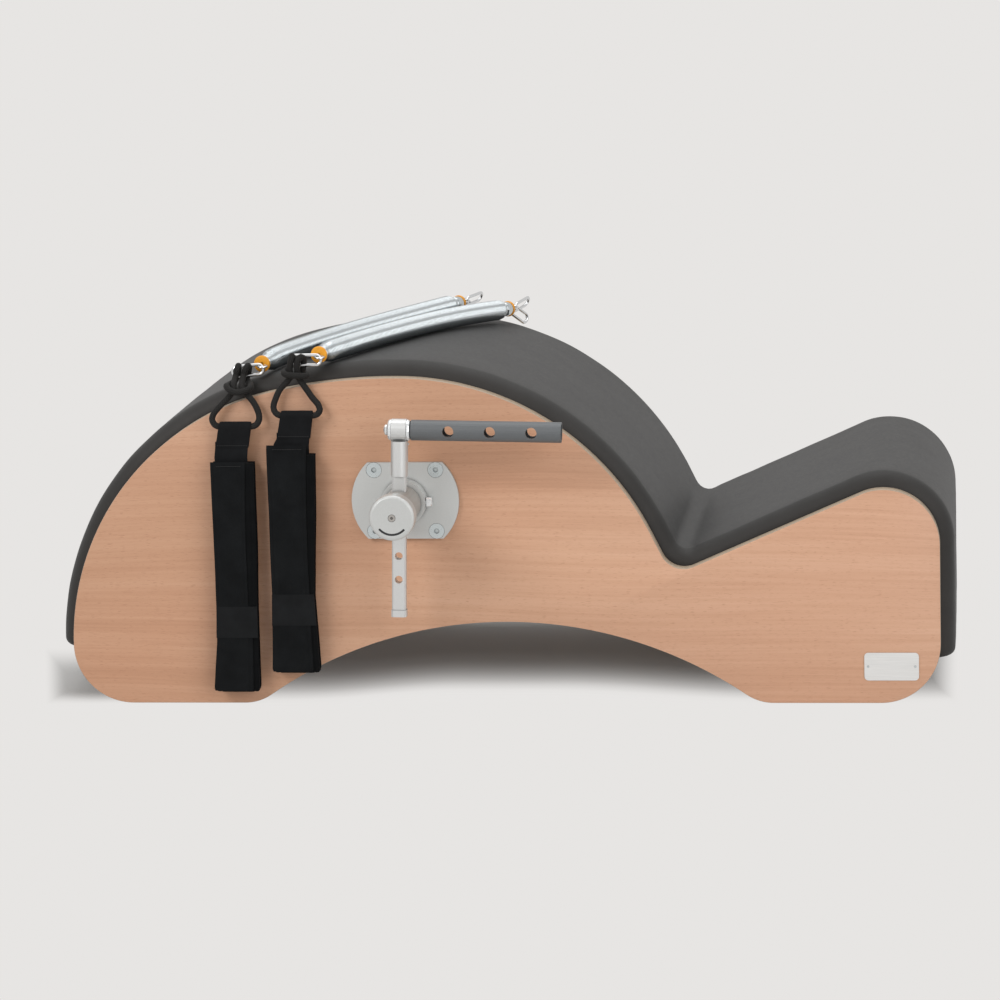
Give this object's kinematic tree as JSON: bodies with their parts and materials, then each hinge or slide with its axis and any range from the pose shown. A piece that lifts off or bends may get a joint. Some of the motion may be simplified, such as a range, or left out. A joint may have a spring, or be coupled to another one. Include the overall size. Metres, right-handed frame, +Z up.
{
  "type": "spine corrector",
  "caption": "Padded wooden exercise barrel with arched side panels, a swinging handle arm and two hand straps on springs that lie over the pad.",
  "frame": {"origin": "middle of the footprint on the floor", "axes": "+X along the length, from the round barrel towards the small headrest; +Y across the width, away from the side with the handle arm; +Z up"},
  "size_m": [0.935, 0.564, 0.3791],
  "materials": {
    "panel_veneer": "satin beech veneer",
    "plywood": "bare birch plywood",
    "pad_vinyl": "matt charcoal vinyl, fine grain",
    "bracket_paint": "light grey powder coat",
    "tube_paint": "dark grey paint",
    "bright_steel": "plain steel",
    "spring_chrome": "bright",
    "orange_plastic": "moulded",
    "strap_rope": "braided cord",
    "strap_webbing": "woven webbing",
    "strap_fleece": "short fleece"
  },
  "bodies": {
    "body": {"side_panel_front": "panel_veneer", "side_panel_rear": "panel_veneer", "barrel_board": "plywood", "pad": "pad_vinyl", "rail_left_end": "plywood", "rail_crown": "plywood", "rail_valley": "plywood", "rail_headrest": "plywood", "mount_plate": "bracket_paint", "plate_screw_1": "bright_steel", "plate_screw_2": "bright_steel", "plate_screw_3": "bright_steel", "plate_screw_4": "bright_steel", "pivot_collar": "bracket_paint", "pivot_bush": "bright_steel", "name_plate": "bright_steel", "name_plate_pin_left": "bright_steel", "name_plate_pin_right": "bright_steel"},
    "lock_pin": {"swing_lock_pin": "bracket_paint"},
    "arm_hub": {"arm_hub": "bracket_paint", "hub_washer": "bright_steel", "hub_bolt": "bright_steel"},
    "bar": {"arm_bar": "bracket_paint", "bar_end_cap": "bracket_paint", "handle_stop_pin": "bracket_paint"},
    "knob": {"knob": "bracket_paint", "knob_screw": "bright_steel", "knob_pin": "bright_steel"},
    "handle": {"handle_tube": "tube_paint", "handle_end_plug": "tube_paint", "handle_bolt": "bracket_paint", "handle_washer_outer": "bracket_paint", "handle_washer_inner": "bracket_paint"},
    "near_spring": {"near_spring_coil": "spring_chrome", "near_spring_cap_left": "orange_plastic", "near_spring_cap_right": "orange_plastic", "near_spring_ferrule_left": "spring_chrome", "near_spring_ferrule_right": "spring_chrome", "near_spring_eye_left": "spring_chrome", "near_spring_eye_right": "spring_chrome", "near_link_upper": "spring_chrome", "near_link_lower": "spring_chrome"},
    "near_strap": {"near_link_left": "spring_chrome", "near_strap_rope": "strap_rope", "near_strap_webbing": "strap_webbing", "near_strap_sleeve": "strap_fleece"},
    "far_spring": {"far_spring_coil": "spring_chrome", "far_spring_cap_left": "orange_plastic", "far_spring_cap_right": "orange_plastic", "far_spring_ferrule_left": "spring_chrome", "far_spring_ferrule_right": "spring_chrome", "far_spring_eye_left": "spring_chrome", "far_spring_eye_right": "spring_chrome", "far_link_upper": "spring_chrome", "far_link_lower": "spring_chrome"},
    "far_strap": {"far_link_left": "spring_chrome", "far_strap_rope": "strap_rope", "far_strap_webbing": "strap_webbing", "far_strap_sleeve": "strap_fleece"}
  },
  "joints": [
    {"name": "arm_swing", "type": "hinge", "parent": "body", "child": "arm_hub", "pos_m": [-0.0985, -0.168, 0.214], "axis": [0, 1, 0], "range_deg": [-90, 90]},
    {"name": "swing_lock_slide", "type": "slide", "parent": "body", "child": "lock_pin", "axis": [1, 0, 0], "range_m": [0, 0.005], "stiffness_N_per_m": 300},
    {"name": "bar_height", "type": "slide", "parent": "arm_hub", "child": "bar", "axis": [0.0227, 0, 0.9997], "range_m": [0, 0.0732]},
    {"name": "knob_turn", "type": "hinge", "parent": "arm_hub", "child": "knob", "pos_m": [-0.0985, -0.255, 0.214], "axis": [0, 1, 0], "range_deg": [0, 90]},
    {"name": "handle_spin", "type": "hinge", "parent": "bar", "child": "handle", "pos_m": [-0.0967, -0.22, 0.295], "axis": [0.9997, 0, -0.0227], "continuous": true},
    {"name": "near_spring_lift", "type": "slide", "parent": "body", "child": "near_spring", "axis": [0, 0, 1], "range_m": [0, 0.15]},
    {"name": "far_spring_lift", "type": "slide", "parent": "body", "child": "far_spring", "axis": [0, 0, 1], "range_m": [0, 0.15]},
    {"name": "near_strap_swing", "type": "hinge", "parent": "near_spring", "child": "near_strap", "pos_m": [-0.1862, -0.1662, 0.3598], "axis": [-1, 0, 0], "range_deg": [0, 20]},
    {"name": "far_strap_swing", "type": "hinge", "parent": "far_spring", "child": "far_strap", "pos_m": [-0.2496, -0.148, 0.3484], "axis": [-1, 0, 0], "range_deg": [0, 20]}
  ]
}
